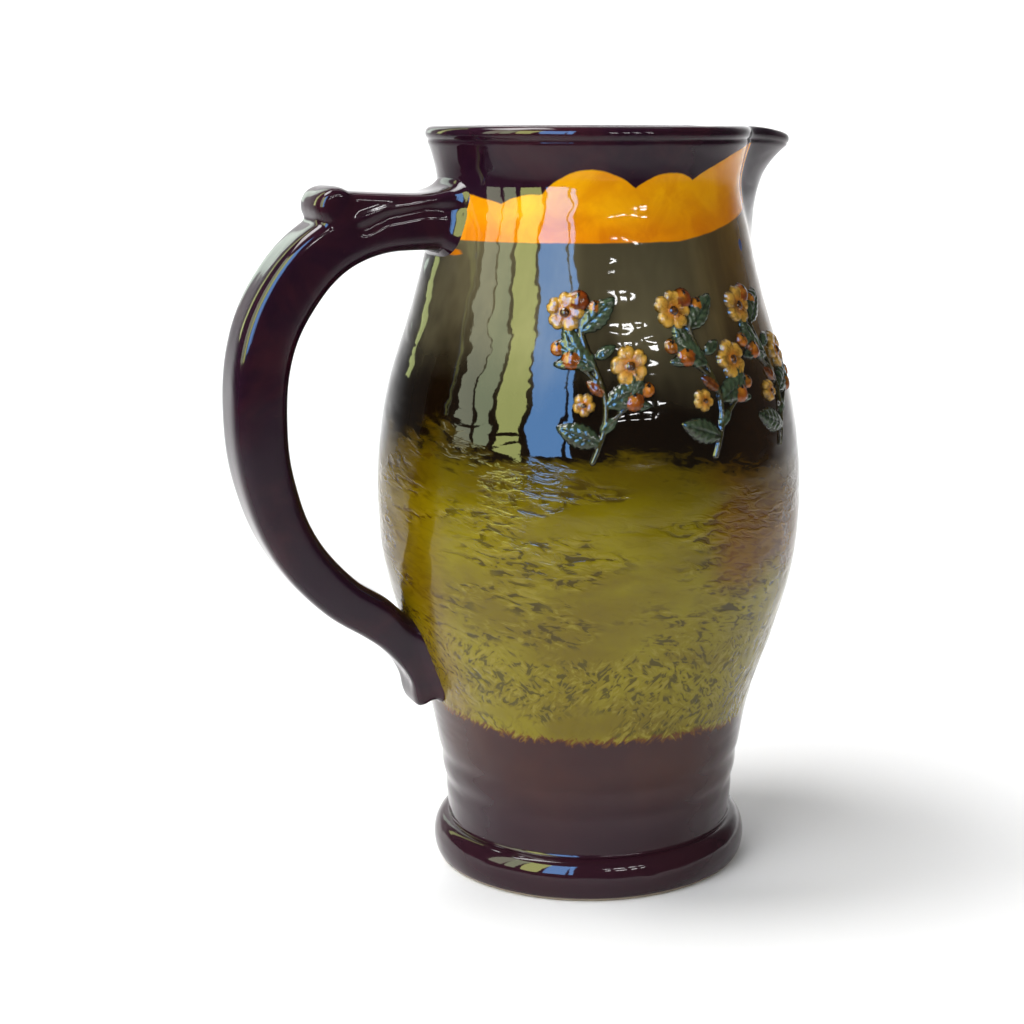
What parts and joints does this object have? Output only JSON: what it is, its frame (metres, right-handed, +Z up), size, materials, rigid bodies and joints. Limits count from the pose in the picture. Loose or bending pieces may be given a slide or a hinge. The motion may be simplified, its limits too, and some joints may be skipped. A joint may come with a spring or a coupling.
{
  "type": "pitcher",
  "caption": "Glazed ceramic pitcher: bellied body on a ring foot, open mouth with a pulled spout, scrolled strap handle with a rolled thumb rest, raised sprays on both sides.",
  "frame": {"origin": "on the axis of the turned body, at its flat underside", "axes": "+Z up along the body's axis, +X towards the spout, -X towards the handle"},
  "size_m": [0.1896, 0.138, 0.24],
  "materials": {
    "glazed_stoneware": "clear high-gloss glaze over coloured zones: plum-brown rim, handle and base, orange band, dark olive upper wall, moss-green lower wall"
  },
  "bodies": {
    "root": {"jug": "glazed_stoneware"}
  },
  "joints": []
}
